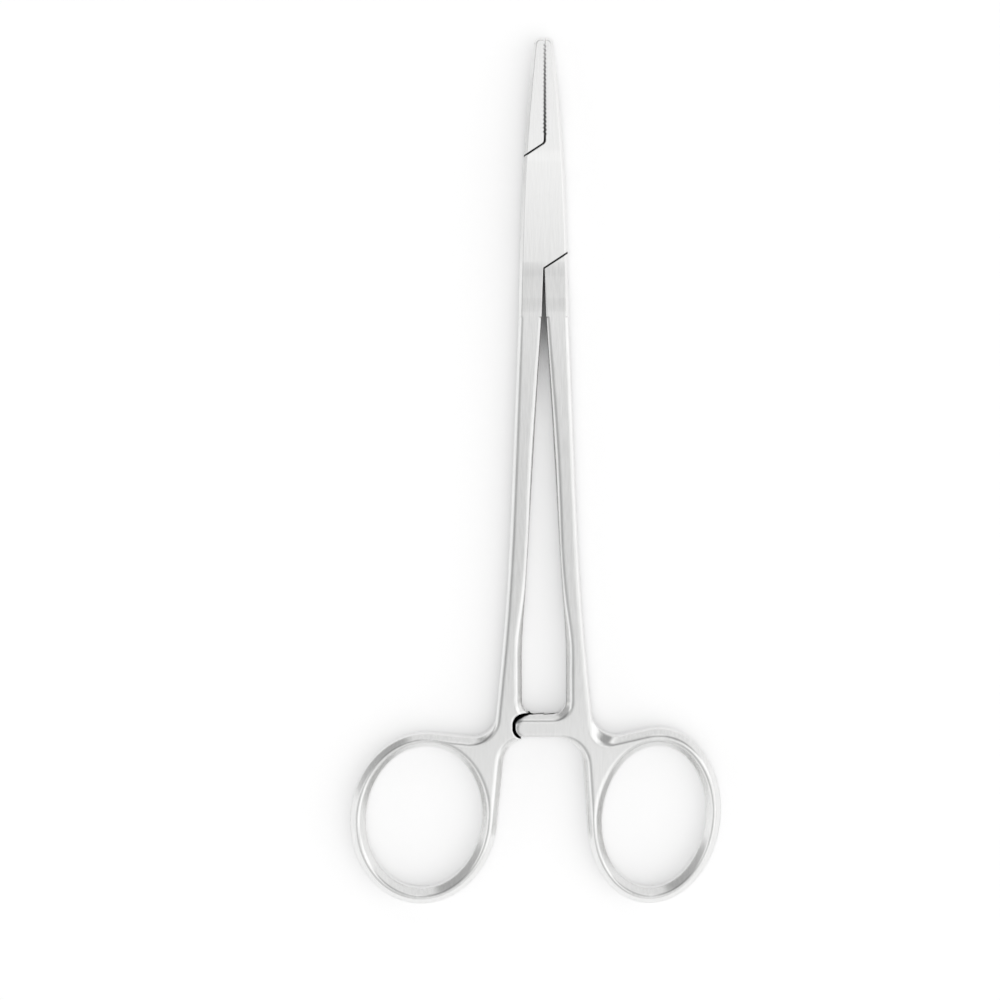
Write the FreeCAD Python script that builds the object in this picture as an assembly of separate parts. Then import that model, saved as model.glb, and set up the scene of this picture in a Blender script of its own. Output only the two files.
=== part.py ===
import FreeCAD, Part

import math
import os

# Surgical needle holder with ring handles, a box lock and a ratchet catch, closed and locked.
#
# It lies flat as on a tray: X runs across it, Y along it towards the jaws, and Z up.
# The origin is on the pivot's axis, at the underside of the box lock. Sizes are in millimetres.
#
# One forging, the box half, runs from the left finger ring through the box to the right jaw.
# The other, the tongue half, runs from the right ring through the slot in the box to the left
# jaw. A rivet, ground flush with both faces of the box, is the pivot.
#
# Both halves are modelled about the middle plane of their thickness and raised at the end.
# A reach is a distance from the pivot along the instrument.

Vector = FreeCAD.Vector

# Head: box lock and jaws, ground together as one tapered bar
box_thickness = 5.6
box_width = 8.2            # at the pivot
box_front_reach = 9.0      # from here the jaws get thinner
box_foot_reach = 11.5      # from here the shanks get thinner
head_end_reach = 20.15     # end of that taper
head_end_width = 9.32
jaw_root_reach = 11.95
jaw_root_width = 6.88
jaw_middle_reach = 22.75
jaw_middle_width = 5.03
jaw_reach = 30.35          # to the tip
jaw_tip_width = 3.45       # across both jaws, if the tip were square
jaw_tip_radius = 1.3
jaw_tip_thickness = 2.9
taper_blend = 30.0         # radius where the box runs into the tapers
edge_bevel = 0.55

# Box lock
seam_reach = 11.4          # inner end of each diagonal seam
seam_angle = 33.0          # from square across, in degrees
seam_gap = 0.28
seam_corner_radius = 0.9   # where the upper seam turns into the gap between the jaws
slot_end_reach = 6.3       # closed end of the slot, at the side of the box
tongue_thickness = 2.0
tongue_gap = 0.35          # between the tongue's edges and the closed ends of the slot
slot_play = 0.06           # running gap on each face of the tongue

# Rivet
rivet_radius = 1.6
rivet_head_radius = 2.1
rivet_head_depth = 0.5
rivet_play = 0.03          # running fit of the tongue on the rivet

# Biting faces of the jaws
parting_offset = 0.17      # they meet this far to the right of the middle
jaw_gap_root = 0.42
jaw_gap_tip = 0.16
tooth_pitch = 0.75
tooth_depth = 0.28
teeth_start_reach = 12.75
teeth_margin = 0.86        # plain end at the tip

# Handles: shanks, ratchet bars and finger rings, all of one thickness
handle_thickness = 4.5
bevel_blend = 0.2          # half the width of the rounding between a bevel and the flat
bevel_runout = 0.06        # bevels die away to this where the shanks meet the head

# Ratchet
ratchet_reach = 94.15      # top edge of both bars
bar_height = 4.1
bar_overhang = 5.52        # free end of each bar, past the middle
bar_end_radius = 1.7
bar_root_radius = 2.55     # hollow between the shank and the top of its bar
bar_foot_radius = 5.3      # hollow between the bottom of the bar and the ring
bar_top_bevel = 0.95
bar_end_bevel = 0.45
bar_bottom_bevel = 0.3
ratchet_teeth = 3
ratchet_pitch = 2.6
ratchet_notch = 2.2        # width of the notch before each tooth
ratchet_depth = 0.85
ratchet_tip_land = 2.9     # plain end of each bar, before its first tooth
ratchet_play = 0.1         # between the crests of the two rows
pocket_gap = 0.38          # round the end of a bar, in the other half

# Shanks. A rise is a distance up from the top edge of the ratchet bars.
shank_gap_head = 0.29      # between the shanks at the inner ends of the seams
shank_gap_end = 0.87       # between them at the end of the head
shank_middle_reach = 50.4
shank_middle_width = 11.73 # over both shanks
shank_middle_gap = 4.47
shank_low_rise = 21.1
shank_low_width = 14.07
shank_low_gap = 7.14
shank_straight_rise = 11.15
shank_straight_gap = 8.18  # the inner edges run parallel from here to the ratchet
shank_foot_rise = 2.15
shank_foot_width = 17.52
shank_foot_flare = 6.0     # of the outer edge at the foot, in degrees
shank_bevel = 0.6
shank_foot_bevel = 1.15    # of the inner edge, along its parallel run

# Finger rings: equally long, so that their ends are level
ring_drop = 19.5           # middle of the holes, below the top edge of the ratchet bars
hole_half_length = 13.55
ring_end_band = 2.9        # width of the band at its lower end
ring_bevel = 1.25          # outer edge of the band
ring_inner_bevel = 1.4

# Each ring as seen with the instrument's middle on its left: the middle of its hole and half its
# width, the width of the band at its sides and top, and the lean of the long axes away from the
# instrument. Shoulder and waist are the slopes of the straight runs that meet the band at its top
# and on its inner side; the shoulder's hollow has one radius at the edge and another on the flat.
# Angles are in degrees.
left_ring = {"x": 22.5, "half_width": 10.83, "side_band": 2.95, "top_band": 2.54, "lean": -7.0,
             "shoulder": 6.0, "waist": 5.5, "shoulder_radius": 4.2, "flat_shoulder_radius": 5.5}
right_ring = {"x": 20.6, "half_width": 9.65, "side_band": 2.8, "top_band": 3.42, "lean": 6.5,
              "shoulder": 13.0, "waist": 4.0, "shoulder_radius": 4.7, "flat_shoulder_radius": 3.4}

# Derived
box_half_thickness = box_thickness / 2
handle_half_thickness = handle_thickness / 2
bar_bottom_reach = ratchet_reach + bar_height
shank_low_reach = ratchet_reach - shank_low_rise
shank_straight_reach = ratchet_reach - shank_straight_rise
shank_foot_reach = ratchet_reach - shank_foot_rise
tongue_half_thickness = tongue_thickness / 2
outside = 2 * jaw_reach    # reaches past any part of the head
weld = 0.001               # faces this close are joined


def extruded(wire, low, high):
    """Prism over a flat wire at height 0, between two heights."""
    prism = Part.Face(wire).extrude(Vector(0, 0, high - low))
    prism.translate(Vector(0, 0, low))
    return prism


def line(start, end):
    return Part.LineSegment(start, end).toShape()


def direction(degrees):
    angle = math.radians(degrees)
    return Vector(math.cos(angle), math.sin(angle), 0)


def crossing(point_a, along_a, point_b, along_b):
    """Where two lines in plan cross."""
    gap = point_b - point_a
    step = (gap.x * along_b.y - gap.y * along_b.x) / (along_a.x * along_b.y - along_a.y * along_b.x)
    return point_a + along_a * step


def corner_arc(before, corner, after, radius):
    """Start, middle and end of the arc that rounds a corner between two straight runs."""
    back = (before - corner).normalize()
    ahead = (after - corner).normalize()
    half_angle = back.getAngle(ahead) / 2
    along = radius / math.tan(half_angle)
    bisector = (back + ahead).normalize()
    centre = corner + bisector * (radius / math.sin(half_angle))
    return corner + back * along, centre - bisector * radius, corner + ahead * along


def rounded_run(points, radius):
    """Edges along a row of points, with each inner corner rounded."""
    edges = []
    start = points[0]
    for before, corner, after in zip(points, points[1:], points[2:]):
        first, middle, last = corner_arc(before, corner, after, radius)
        edges.append(line(start, first))
        edges.append(Part.Arc(first, middle, last).toShape())
        start = last
    edges.append(line(start, points[-1]))
    return edges


def spline(points, start_along=None, end_along=None):
    curve = Part.BSplineCurve()
    if start_along is None:
        curve.interpolate(Points=points)
    else:
        curve.interpolate(Points=points, InitialTangent=start_along, FinalTangent=end_along)
    return curve.toShape()


# Head

def side_profile(points):
    """Prism across the instrument, as thick as the given half thicknesses along it."""
    upper = rounded_run([Vector(0, y, z) for y, z in points], taper_blend)
    lower = [edge.mirror(Vector(0, 0, 0), Vector(0, 0, 1)) for edge in upper]
    first = points[0]
    last = points[-1]
    ends = [line(Vector(0, first[0], -first[1]), Vector(0, first[0], first[1])),
            line(Vector(0, last[0], -last[1]), Vector(0, last[0], last[1]))]
    face = Part.Face(Part.Wire(Part.__sortEdges__(upper + lower + ends)))
    face.translate(Vector(-outside, 0, 0))
    return face.extrude(Vector(2 * outside, 0, 0))


def head_plan():
    """Outline of the closed head, from above."""
    tip = Vector(jaw_tip_width / 2, jaw_reach, 0)
    middle = Vector(jaw_middle_width / 2, jaw_middle_reach, 0)
    start, centre, end = corner_arc(middle, tip, Vector(0, jaw_reach, 0), jaw_tip_radius)
    foot = Vector(head_end_width / 2, -head_end_reach, 0)
    pivot_side = Vector(box_width / 2, 0, 0)
    root = Vector(jaw_root_width / 2, jaw_root_reach, 0)
    side = spline([foot, pivot_side, root, middle, start],
                  (pivot_side - foot).normalize(), (start - middle).normalize())
    rounding = Part.Arc(start, centre, end).toShape()
    right = [side, rounding]
    left = [edge.mirror(Vector(0, 0, 0), Vector(1, 0, 0)) for edge in right]
    ends = [line(end, Vector(-end.x, end.y, 0)), line(Vector(-foot.x, foot.y, 0), foot)]
    return Part.Wire(Part.__sortEdges__(right + left + ends))


def bevelled_head():
    """Both halves' head as one solid, with bevelled edges."""
    solid = extruded(head_plan(), -box_thickness, box_thickness)
    taper_end = head_end_reach - (head_end_reach - box_foot_reach) / 4
    solid = solid.common(side_profile([
        (jaw_reach, jaw_tip_thickness / 2),
        (box_front_reach, box_half_thickness),
        (-box_foot_reach, box_half_thickness),
        (-taper_end, handle_half_thickness),
        (-head_end_reach, handle_half_thickness)]))
    edges = []
    for face in solid.Faces:
        low, high = face.ParameterRange[0::2], face.ParameterRange[1::2]
        normal = face.normalAt((low[0] + high[0]) / 2, (low[1] + high[1]) / 2)
        at_end = face.BoundBox.YMax < 0.01 - head_end_reach
        if abs(normal.z) > 0.01 or at_end:
            continue
        edges += [edge for edge in face.Edges if edge.BoundBox.ZLength < edge.Length / 2]
    return solid.makeChamfer(edge_bevel, edges)


def seam_line(side, gap):
    """Point and direction of a diagonal seam's edge, moved off by a gap.

    The upper seam, side 1, runs out to the left of the head, and the lower one to the right.
    """
    along = direction(180 + seam_angle) * side
    inner = Vector(parting_offset * side, seam_reach * side, 0)
    away = Vector(along.y, -along.x, 0) * gap
    return inner + away, along


def tooth_edge(side):
    """Points of a jaw's serrated biting face, from its root to the tip. Side is -1 on the left.

    Both faces follow one zigzag, so that the teeth of one fit between those of the other.
    """
    def face_point(y, offset):
        share = (y - seam_reach) / (jaw_reach - seam_reach)
        gap = jaw_gap_root + (jaw_gap_tip - jaw_gap_root) * share
        return Vector(parting_offset + offset + side * gap / 2, y, 0)

    count = int((jaw_reach - teeth_margin - teeth_start_reach) / tooth_pitch)
    points = [face_point(seam_reach, 0), face_point(teeth_start_reach, 0)]
    for tooth in range(count):
        y = teeth_start_reach + tooth * tooth_pitch
        points.append(face_point(y + tooth_pitch / 4, tooth_depth / 2))
        points.append(face_point(y + tooth_pitch * 3 / 4, -tooth_depth / 2))
    last = teeth_start_reach + count * tooth_pitch
    points += [face_point(last, 0), face_point(jaw_reach, 0)]
    return points + [points[-1] + Vector(0, outside, 0)]


def jaw_region(side, gap):
    """Plan of all that is to one side of the biting faces, above the upper seam."""
    edge = tooth_edge(side)
    point, along = seam_line(1, gap)
    inner = crossing(point, along, edge[0], Vector(0, 1, 0))
    outer = point + along * outside
    top = edge[-1]
    corners = edge[1:] + [Vector(-outside, top.y, 0), Vector(-outside, outer.y, 0), outer]
    edges = rounded_run([outer, inner, edge[1]], seam_corner_radius - gap)
    edges += [line(start, end) for start, end in zip(corners, corners[1:])]
    return extruded(Part.Wire(edges), -box_thickness, box_thickness)


def shank_region(side, gap):
    """Plan of all that is to the right of the shanks' parting, below the lower seam."""
    point, along = seam_line(-1, gap)
    head = Vector(side * shank_gap_head / 2, -seam_reach, 0)
    end = Vector(side * shank_gap_end / 2, -head_end_reach, 0)
    parting = (end - head).normalize()
    inner = crossing(point, along, head, parting)
    low = head + parting * outside
    outer = point + along * outside
    corners = [inner, low, Vector(outside, low.y, 0), Vector(outside, outer.y, 0), outer]
    return extruded(Part.makePolygon(corners + corners[:1]), -box_thickness, box_thickness)


def slot_layer(gap, half_thickness):
    """Layer between the closed ends of the slot, narrowed by a gap."""
    inner = Vector(parting_offset + jaw_gap_root / 2, seam_reach, 0)
    outer = Vector(box_width / 2, slot_end_reach, 0)
    along = (outer - inner).normalize()
    away = Vector(along.y, -along.x, 0) * gap
    start = inner + away - along * outside
    end = inner + away + along * outside
    corners = [start, end, start * -1, end * -1]
    return extruded(Part.makePolygon(corners + corners[:1]), -half_thickness, half_thickness)


def box_head(head):
    """The box half's share of the head: both cheeks, the right jaw and the left shank's root."""
    share = head.cut(jaw_region(1, -seam_gap / 2))
    share = share.cut(shank_region(-1, -seam_gap / 2))
    slot = slot_layer(0, tongue_half_thickness + slot_play)
    return share.cut(slot)


def tongue_head(head):
    """The tongue half's share of the head: the left jaw, the tongue and the right shank's root."""
    tongue = head.common(slot_layer(tongue_gap, tongue_half_thickness))
    jaw = head.common(jaw_region(-1, seam_gap / 2))
    shank = head.common(shank_region(1, seam_gap / 2))
    bore = Part.makeCylinder(rivet_radius + rivet_play, box_thickness, Vector(0, 0, -box_half_thickness))
    return tongue.fuse([jaw, shank]).cut(bore)


# Handles

def bevel_inset(bevel, level):
    """How far in from the widest outline each level of a bevel is."""
    return (0, bevel - bevel_blend, bevel + bevel_blend)[level]


def bevel_height(bevel, level):
    """Height of each level of a bevel, which slopes at 45 degrees and runs softly into the flat."""
    return handle_half_thickness - (bevel, bevel_blend, 0)[level]


def offset_run(point, along, bevel, level):
    """A straight run of the outline, moved into the metal, which lies on its left."""
    return point + Vector(-along.y, along.x, 0) * bevel_inset(bevel, level), along, bevel


def raised(point, bevel, level):
    return Vector(point.x, point.y, bevel_height(bevel, level))


def band_sizes(ring, inset):
    """Half width and half length of the band, and how far its middle is above the hole's."""
    half_length = hole_half_length + (ring["top_band"] + ring_end_band) / 2
    return (ring["half_width"] + ring["side_band"] - inset, half_length - inset,
            (ring["top_band"] - ring_end_band) / 2)


def turned(ring, x, y):
    """Point given from the middle of the ring's hole, along the ring's leaning axes."""
    lean = math.radians(-ring["lean"])
    return Vector(ring["x"] + x * math.cos(lean) - y * math.sin(lean),
                  x * math.sin(lean) + y * math.cos(lean) - ratchet_reach - ring_drop, 0)


def tangent_angle(ring, inset, degrees):
    """Where the band's outer edge, gone round anticlockwise, has the given direction."""
    half_width, half_length = band_sizes(ring, inset)[:2]
    along = direction(degrees + ring["lean"])
    return math.atan2(-along.x / half_width, along.y / half_length)


def band_point(ring, inset, angle):
    half_width, half_length, rise = band_sizes(ring, inset)
    return turned(ring, half_width * math.cos(angle), half_length * math.sin(angle) + rise)


def ring_ellipse(ring, half_width, half_length, rise, height):
    up = Vector(0, 0, height)
    end = turned(ring, 0, half_length + rise) + up
    side = turned(ring, -half_width, rise) + up
    return Part.Ellipse(end, side, turned(ring, 0, rise) + up)


def handle_outline(ring, level):
    """Edges round a half's shank, bar and ring, with the bar pointing left and the ring right.

    Level 0 is the widest outline, where the bevels begin, level 1 is where they start to run
    softly into the flat, and level 2 is the flat's own outline.
    """
    def shank_points(stations, side):
        return [raised(Vector(width / 2 - side * bevel_inset(bevel, level), -reach, 0), bevel, level)
                for reach, width, bevel in stations]

    inner = shank_points([(head_end_reach, shank_gap_end, bevel_blend + bevel_runout),
                          (shank_middle_reach, shank_middle_gap, shank_bevel),
                          (shank_low_reach, shank_low_gap, shank_bevel),
                          (shank_straight_reach, shank_straight_gap, shank_foot_bevel)], -1)
    outer = shank_points([(shank_foot_reach, shank_foot_width, shank_bevel),
                          (shank_low_reach, shank_low_width, shank_bevel),
                          (shank_middle_reach, shank_middle_width, shank_bevel),
                          (head_end_reach, head_end_width, edge_bevel)], 1)

    flare = direction(90 + shank_foot_flare)
    ring_inset = bevel_inset(ring_bevel, level)
    waist_angle = tangent_angle(ring, ring_inset, ring["waist"] - 90)
    shoulder_angle = tangent_angle(ring, ring_inset, 180 + ring["shoulder"])
    waist = band_point(ring, ring_inset, waist_angle)
    shoulder = band_point(ring, ring_inset, shoulder_angle)

    # The straight runs from the shank round the bar to the ring, and back up to the shank
    runs = [(inner[-1], Vector(0, -1, 0), shank_foot_bevel),
            offset_run(Vector(0, -ratchet_reach, 0), Vector(-1, 0, 0), bar_top_bevel, level),
            offset_run(Vector(-bar_overhang, 0, 0), Vector(0, -1, 0), bar_end_bevel, level),
            offset_run(Vector(0, -bar_bottom_reach, 0), Vector(1, 0, 0), bar_bottom_bevel, level),
            (waist, direction(ring["waist"] - 90), ring_bevel)]
    radii = [bar_root_radius + bevel_inset(bar_top_bevel, level),
             bar_end_radius - bevel_inset(bar_end_bevel, level),
             bar_end_radius - bevel_inset(bar_end_bevel, level),
             bar_foot_radius + bevel_inset(bar_bottom_bevel, level)]

    edges = [spline(inner, inner[1] - inner[0], Vector(0, -1, 0))]
    start = inner[-1]
    for run, following, radius in zip(runs, runs[1:], radii):
        corner = crossing(run[0], run[1], following[0], following[1])
        points = corner_arc(corner - run[1], corner, corner + following[1], radius)
        bevels = (run[2], (run[2] + following[2]) / 2, following[2])
        first, middle, last = [raised(point, bevel, level) for point, bevel in zip(points, bevels)]
        edges += [line(start, first), Part.Arc(first, middle, last).toShape()]
        start = last
    edges.append(line(start, raised(waist, ring_bevel, level)))

    band = ring_ellipse(ring, *band_sizes(ring, ring_inset), bevel_height(ring_bevel, level))
    sweep_start = waist_angle - math.pi / 2
    sweep = (shoulder_angle - waist_angle) % (2 * math.pi)
    edges.append(Part.ArcOfEllipse(band, sweep_start, sweep_start + sweep).toShape())

    corner = crossing(shoulder, direction(180 + ring["shoulder"]), outer[0], flare)
    share = ring_inset / bevel_inset(ring_bevel, 2)
    radius = (1 - share) * ring["shoulder_radius"] + share * ring["flat_shoulder_radius"]
    points = corner_arc(shoulder, corner, corner + flare, radius)
    bevels = (ring_bevel, (ring_bevel + shank_bevel) / 2, shank_bevel)
    first, middle, last = [raised(point, bevel, level) for point, bevel in zip(points, bevels)]
    edges += [line(raised(shoulder, ring_bevel, level), first),
              Part.Arc(first, middle, last).toShape(),
              line(last, outer[0]), spline(outer, flare, outer[-1] - outer[-2]),
              line(outer[-1], inner[0])]
    return edges


def bevelled_loft(outlines):
    """Solid through outlines from the widest one up to the flat, and the same below."""
    wires = [Part.Wire(edges) for edges in outlines]
    lower = [Part.Wire([edge.mirror(Vector(0, 0, 0), Vector(0, 0, 1)) for edge in edges])
             for edges in reversed(outlines)]
    return Part.makeLoft(lower + wires, True, True)


def hole_outline(ring, level):
    """Edge of a ring's hole, which widens by its bevel towards the flat."""
    inset = bevel_inset(ring_inner_bevel, level)
    ellipse = ring_ellipse(ring, ring["half_width"] + inset, hole_half_length + inset, 0,
                           bevel_height(ring_inner_bevel, level))
    return [ellipse.toShape()]


def handle(ring):
    """Shank, bar and finger ring of one half."""
    levels = (0, 1, 2)
    solid = bevelled_loft([handle_outline(ring, level) for level in levels])
    return solid.cut(bevelled_loft([hole_outline(ring, level) for level in levels]))


def bar_recess():
    """Room for the other half's bar, which lies behind and points right, and for its own teeth."""
    end = bar_overhang + pocket_gap
    top = -ratchet_reach + pocket_gap
    bottom = -bar_bottom_reach - pocket_gap
    face = ratchet_play / 2
    corners = [Vector(-outside, top, 0), Vector(end, top, 0), Vector(end, bottom, 0),
               Vector(-outside, bottom, 0)]
    edges = rounded_run(corners, bar_end_radius + pocket_gap)
    edges.append(line(corners[-1], corners[0]))
    recess = extruded(Part.Wire(edges), -handle_thickness, face)
    for tooth in range(ratchet_teeth):
        steep = -bar_overhang + ratchet_tip_land + tooth * ratchet_pitch
        notch = Part.makePolygon([Vector(steep, top, face), Vector(steep, top, face + ratchet_depth),
                                  Vector(steep + ratchet_notch, top, face), Vector(steep, top, face)])
        recess = recess.fuse(Part.Face(notch).extrude(Vector(0, bottom - top, 0)))
    return recess


def rivet():
    shank = Part.makeCylinder(rivet_radius, box_thickness, Vector(0, 0, -box_half_thickness))
    cones = [Part.makeCone(rivet_head_radius, rivet_radius, rivet_head_depth,
                           Vector(0, 0, -side * box_half_thickness), Vector(0, 0, side))
             for side in (1, -1)]
    return shank.fuse(cones).removeSplitter()


def left_about(shape):
    """A right-hand half turned over onto the left."""
    return shape.rotate(Vector(0, 0, 0), Vector(0, 1, 0), 180)


def box_half(head):
    handle_share = left_about(handle(left_ring).cut(bar_recess()))
    return box_head(head).fuse([handle_share], weld).cut(rivet()).removeSplitter()


def tongue_half(head):
    handle_share = handle(right_ring).cut(bar_recess())
    return tongue_head(head).fuse([handle_share], weld).removeSplitter()


def main():
    os.makedirs("parts", exist_ok=True)
    head = bevelled_head()
    nodes = {"box_half": box_half(head), "tongue_half": tongue_half(head), "pivot_pin": rivet()}
    for node, shape in nodes.items():
        shape.translate(Vector(0, 0, box_half_thickness))
        shape.exportStep("parts/" + node + ".step")
        print(node, shape.isValid(), len(shape.Solids), round(shape.Volume, 2))


main()
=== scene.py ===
import math

import bpy
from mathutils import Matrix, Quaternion, Vector

# Surgical needle holder in satin steel, lying closed on a pale studio floor.
# Lengths are in metres and angles in degrees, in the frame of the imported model.

# View
LOOK_AT = Vector((-0.0081, -0.05384, 0.0045))
VIEW_WIDTH = 0.1845        # across the picture, at the point looked at
CAMERA_DISTANCE = 0.42
CAMERA_TILT = 5.5          # from straight above, towards the jaws
CAMERA_ROLL = -0.128       # about the line of sight
CAMERA_REACH = (0.01, 20)  # nearest and farthest point that is drawn
SENSOR_WIDTH = 36.0        # millimetres

# Surroundings, as (direction, grey) stops. One row runs from left to right and the other from the
# ring end to the jaws, and the two are multiplied. Round the horizon, the second row runs towards
# the upper left corner instead.
OVERHEAD_ACROSS = [(-0.95, 1.05), (-0.86, 1.05), (-0.72, 0.48), (-0.22, 0.48), (-0.10, 0.70),
                   (0.0, 0.83), (0.05, 0.86), (0.15, 0.82), (0.3, 0.70), (0.9, 0.72)]
OVERHEAD_ALONG = [(-0.9, 1.0), (-0.26, 1.15), (-0.20, 1.14), (-0.17, 0.89), (-0.08, 0.90),
                  (-0.03, 1.0), (0.010, 1.04), (0.030, 1.34), (0.1, 1.33), (0.19, 1.22),
                  (0.26, 1.27), (0.35, 0.55), (0.70, 0.55), (0.80, 1.3), (0.95, 1.2)]
HORIZON_ACROSS = [(-1.0, 1.0), (-0.85, 1.0), (-0.5, 0.85), (0.0, 0.82), (0.6, 0.88), (1.0, 0.95)]
HORIZON_CORNER = [(-1.0, 1.0), (0.80, 1.0), (0.88, 0.55), (1.0, 0.45)]
CORNER = (-0.8, 0.6, 0.0)
HORIZON_TOP = (0.30, 0.55)          # heights between which the horizon gives way to the overhead

# Lamp
LAMP_PLACE = Vector((0.75, -0.2, 0.75))
LAMP_AIM = Vector((0, -0.05, 0))
LAMP_SIZE = 1.2
LAMP_POWER = 1.5           # watts

# Floor
FLOOR_SIZE = 6.0
FLOOR_COLOUR = (0.80, 0.80, 0.80, 1)
FLOOR_ROUGHNESS = 0.9
FLOOR_GLOW = 0.42          # seen by the camera and in reflections only
SHADE_REACH = 0.005        # painted shade: the glow fades out where the floor is closed in within this distance, in gaps and under the instrument
SHADE_OPEN = (0.17, 0.30)  # openness of a gap without glow, and of one with all of it

# Steel
STEEL_PALE = (0.87, 0.87, 0.865, 1)
STEEL_DARK = (0.81, 0.81, 0.805, 1)
ROUGHNESS = (0.13, 0.18)
GRAIN_SCALE = (4000, 260, 1200)     # cells a metre
GRAIN_DETAIL = 3.0
GRAIN_SPAN = (0.3, 0.7)             # the part of the noise that the colour and gloss follow
GRAIN_DEPTH = 0.000001
# Painted shade: the steel's colour turns near black where little round a spot is open, in seams,
# gaps, inner corners and near the floor.
PAINTED_SHADE_COLOUR = (0.004, 0.004, 0.004, 1)
PAINTED_SHADE_DISTANCE = 0.0015
PAINTED_SHADE_OPENNESS = (0.60, 0.92)         # openness of a spot with full painted shade, and of one with none
ROUNDING = (-0.030, -0.012, 0.0007, 0.0002)   # two places along the instrument, and the radii there
ROUNDING_SAMPLES = 8
RIVET_EDGE = (0.0026, 0.0032, 0.05, 1)   # distances from its axis, and the share of rounding there

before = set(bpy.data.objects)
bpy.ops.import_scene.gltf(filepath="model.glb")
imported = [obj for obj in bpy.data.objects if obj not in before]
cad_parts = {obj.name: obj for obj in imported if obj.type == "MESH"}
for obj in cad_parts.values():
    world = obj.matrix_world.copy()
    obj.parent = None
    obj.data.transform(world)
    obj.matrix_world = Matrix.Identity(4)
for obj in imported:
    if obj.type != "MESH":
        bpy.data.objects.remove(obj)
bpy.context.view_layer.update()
bpy.context.scene.view_settings.view_transform = "Standard"


def put(tree, value, target):
    """Feed an input from another node's output, or set it to a plain value."""
    if isinstance(value, bpy.types.NodeSocket):
        tree.links.new(value, target)
    else:
        target.default_value = value


def calculated(tree, operation, first, second):
    """Result of an operation on two numbers."""
    node = tree.nodes.new("ShaderNodeMath")
    node.operation = operation
    put(tree, first, node.inputs[0])
    put(tree, second, node.inputs[1])
    return node.outputs["Value"]


def vectors(tree, operation, *values):
    """Outputs of an operation on one or two vectors."""
    node = tree.nodes.new("ShaderNodeVectorMath")
    node.operation = operation
    for value, target in zip(values, node.inputs):
        put(tree, value, target)
    return node.outputs


def mapped(tree, value, low, high, to_low=0.0, to_high=1.0):
    """Value carried from one range to another."""
    node = tree.nodes.new("ShaderNodeMapRange")
    node.inputs["From Min"].default_value = low
    node.inputs["From Max"].default_value = high
    node.inputs["To Min"].default_value = to_low
    node.inputs["To Max"].default_value = to_high
    put(tree, value, node.inputs["Value"])
    return node.outputs["Result"]


def mixed(tree, share, first, second):
    """Blend of two colours."""
    node = tree.nodes.new("ShaderNodeMix")
    node.data_type = "RGBA"
    put(tree, share, node.inputs["Factor"])
    put(tree, first, node.inputs["A"])
    put(tree, second, node.inputs["B"])
    return node.outputs["Result"]


def graded(tree, value, stops):
    """Grey that changes with a value, as (value, grey) stops give it."""
    low, high = stops[0][0], stops[-1][0]
    ramp = tree.nodes.new("ShaderNodeValToRGB")
    elements = ramp.color_ramp.elements
    for place, _ in stops[1:-1]:
        elements.new((place - low) / (high - low))
    for element, (_, grey) in zip(elements, stops):
        element.color = (grey, grey, grey, 1)
    put(tree, mapped(tree, value, low, high), ramp.inputs["Fac"])
    return ramp.outputs["Color"]


def split(tree, vector):
    """The three numbers of a vector."""
    node = tree.nodes.new("ShaderNodeSeparateXYZ")
    put(tree, vector, node.inputs["Vector"])
    return node.outputs


def openness(tree, reach):
    """How much of what lies round a spot is free, from 0 to 1."""
    node = tree.nodes.new("ShaderNodeAmbientOcclusion")
    node.inputs["Distance"].default_value = reach
    return node.outputs["AO"]


def add_object(name, data):
    item = bpy.data.objects.new(name, data)
    bpy.context.scene.collection.objects.link(item)
    return item


def add_camera():
    """Camera almost straight above, leaning towards the jaws."""
    data = bpy.data.cameras.new("camera")
    data.sensor_width = SENSOR_WIDTH
    data.lens = SENSOR_WIDTH * CAMERA_DISTANCE / VIEW_WIDTH
    data.clip_start, data.clip_end = CAMERA_REACH
    camera = add_object("camera", data)
    tilt = math.radians(CAMERA_TILT)
    back = Vector((0, math.sin(tilt), math.cos(tilt)))
    camera.location = LOOK_AT + back * CAMERA_DISTANCE
    camera.rotation_euler = (-tilt, 0, 0)
    camera.rotation_euler.rotate(Quaternion(back, math.radians(CAMERA_ROLL)))
    bpy.context.scene.camera = camera


def add_world():
    """Pale studio surroundings, darker on the left and beyond the jaws."""
    world = bpy.data.worlds.new("studio")
    bpy.context.scene.world = world
    world.use_nodes = True
    tree = world.node_tree
    place = tree.nodes.new("ShaderNodeTexCoord").outputs["Generated"]
    across, along, up = split(tree, place)
    to_corner = vectors(tree, "DOT_PRODUCT", place, CORNER)["Value"]

    overhead = vectors(tree, "MULTIPLY", graded(tree, across, OVERHEAD_ACROSS),
                       graded(tree, along, OVERHEAD_ALONG))["Vector"]
    horizon = vectors(tree, "MULTIPLY", graded(tree, across, HORIZON_ACROSS),
                      graded(tree, to_corner, HORIZON_CORNER))["Vector"]
    colour = mixed(tree, mapped(tree, up, *HORIZON_TOP), horizon, overhead)
    put(tree, colour, tree.nodes["Background"].inputs["Color"])


def add_lamp():
    """Large soft lamp on the right."""
    data = bpy.data.lights.new("key", "AREA")
    data.size = LAMP_SIZE
    data.energy = LAMP_POWER
    lamp = add_object("key", data)
    lamp.location = LAMP_PLACE
    lamp.rotation_mode = "QUATERNION"
    lamp.rotation_quaternion = (LAMP_PLACE - LAMP_AIM).to_track_quat("Z", "Y")


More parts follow.
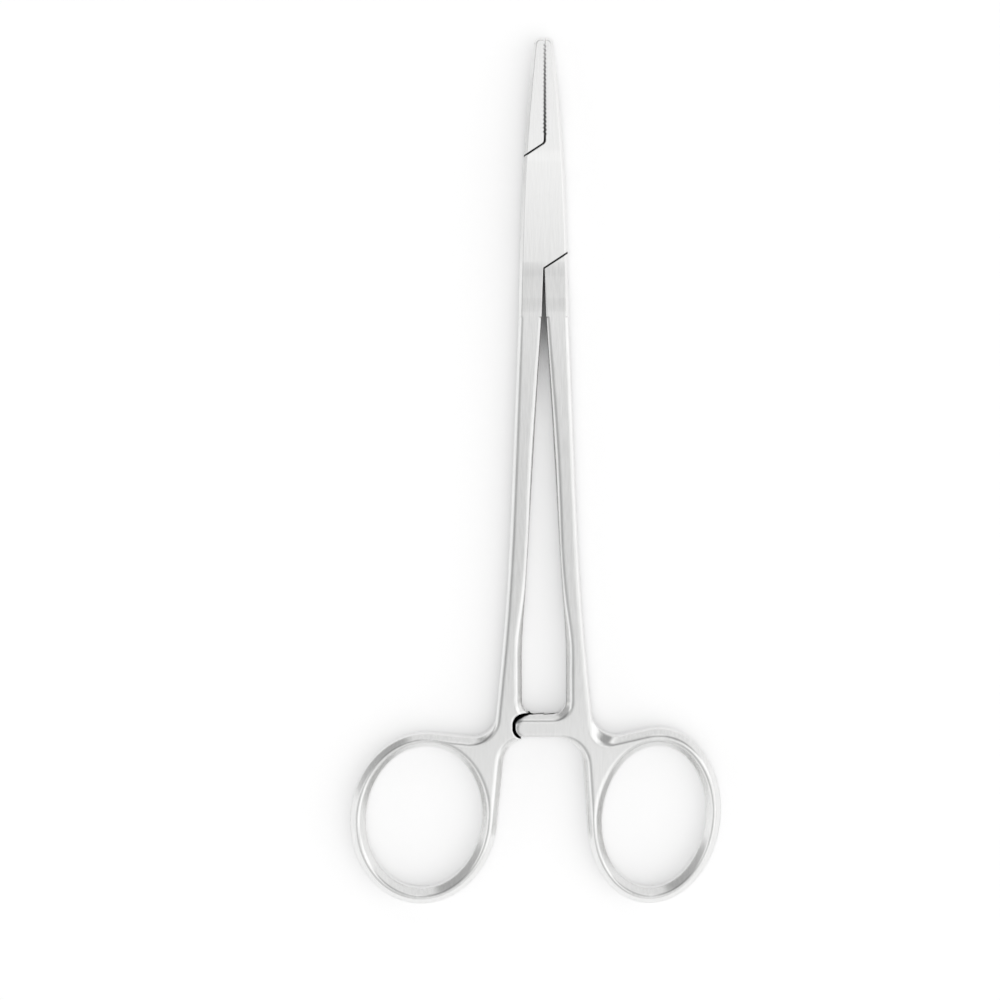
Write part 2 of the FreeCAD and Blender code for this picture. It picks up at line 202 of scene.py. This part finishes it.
def floor_paper():
    """White paper that glows a little, with painted shade: no glow in narrow gaps or under the
    instrument.
    """
    material = bpy.data.materials.new("floor_paper")
    material.use_nodes = True
    tree = material.node_tree
    shader = tree.nodes["Principled BSDF"]
    shader.inputs["Base Color"].default_value = FLOOR_COLOUR
    shader.inputs["Roughness"].default_value = FLOOR_ROUGHNESS
    shader.inputs["Emission Color"].default_value = (1, 1, 1, 1)

    rays = tree.nodes.new("ShaderNodeLightPath").outputs
    seen = calculated(tree, "MAXIMUM", rays["Is Camera Ray"], rays["Is Glossy Ray"])
    shown = calculated(tree, "MAXIMUM", seen, rays["Is Transmission Ray"])
    # Painted shade: the glow is taken away where the floor is closed in, in gaps and beside and
    # under the instrument.
    glow_with_painted_shade = mapped(tree, openness(tree, SHADE_REACH), *SHADE_OPEN, 0, FLOOR_GLOW)
    glow = calculated(tree, "MULTIPLY", shown, glow_with_painted_shade)
    put(tree, glow, shader.inputs["Emission Strength"])
    return material


def add_floor():
    half = FLOOR_SIZE / 2
    mesh = bpy.data.meshes.new("floor")
    mesh.from_pydata([(-half, -half, 0), (half, -half, 0), (half, half, 0), (-half, half, 0)],
                     [], [(0, 1, 2, 3)])
    mesh.materials.append(floor_paper())
    floor = add_object("floor", mesh)


def grain(tree, place):
    """Fine streaks along the instrument."""
    mapping = tree.nodes.new("ShaderNodeMapping")
    mapping.inputs["Scale"].default_value = GRAIN_SCALE
    put(tree, place, mapping.inputs["Vector"])
    noise = tree.nodes.new("ShaderNodeTexNoise")
    noise.inputs["Scale"].default_value = 1.0
    noise.inputs["Detail"].default_value = GRAIN_DETAIL
    put(tree, mapping.outputs["Vector"], noise.inputs["Vector"])
    return noise.outputs["Fac"]


def rounded_normal(tree, place):
    """Rounded edges: softer along the shanks, crisp at the box, and almost none at the rivet."""
    across_axis = vectors(tree, "MULTIPLY", place, (1, 1, 0))["Vector"]
    from_rivet = vectors(tree, "LENGTH", across_axis)["Value"]
    radius = calculated(tree, "MULTIPLY", mapped(tree, split(tree, place)["Y"], *ROUNDING),
                        mapped(tree, from_rivet, *RIVET_EDGE))
    node = tree.nodes.new("ShaderNodeBevel")
    node.samples = ROUNDING_SAMPLES
    put(tree, radius, node.inputs["Radius"])
    return node.outputs["Normal"]


def satin_steel():
    """Satin steel: fine grain along the instrument, rounded edges, and painted shade that darkens
    crevices and inner corners.
    """
    material = bpy.data.materials.new("satin_steel")
    material.use_nodes = True
    tree = material.node_tree
    shader = tree.nodes["Principled BSDF"]
    shader.inputs["Metallic"].default_value = 1.0
    place = tree.nodes.new("ShaderNodeTexCoord").outputs["Object"]
    streaks = grain(tree, place)

    tone = mixed(tree, mapped(tree, streaks, *GRAIN_SPAN), STEEL_DARK, STEEL_PALE)
    # Painted shade: near black is mixed into the base colour in seams, gaps and inner corners, and
    # at the foot of the walls.
    unshaded = mapped(tree, openness(tree, PAINTED_SHADE_DISTANCE), *PAINTED_SHADE_OPENNESS)
    put(tree, mixed(tree, unshaded, PAINTED_SHADE_COLOUR, tone), shader.inputs["Base Color"])
    put(tree, mapped(tree, streaks, *GRAIN_SPAN, *ROUGHNESS), shader.inputs["Roughness"])

    bump = tree.nodes.new("ShaderNodeBump")
    bump.inputs["Strength"].default_value = 1.0
    bump.inputs["Distance"].default_value = GRAIN_DEPTH
    put(tree, streaks, bump.inputs["Height"])
    put(tree, rounded_normal(tree, place), bump.inputs["Normal"])
    put(tree, bump.outputs["Normal"], shader.inputs["Normal"])
    return material


add_camera()
add_world()
add_floor()
add_lamp()
steel = satin_steel()
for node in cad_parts.values():
    node.data.materials.clear()
    node.data.materials.append(steel)
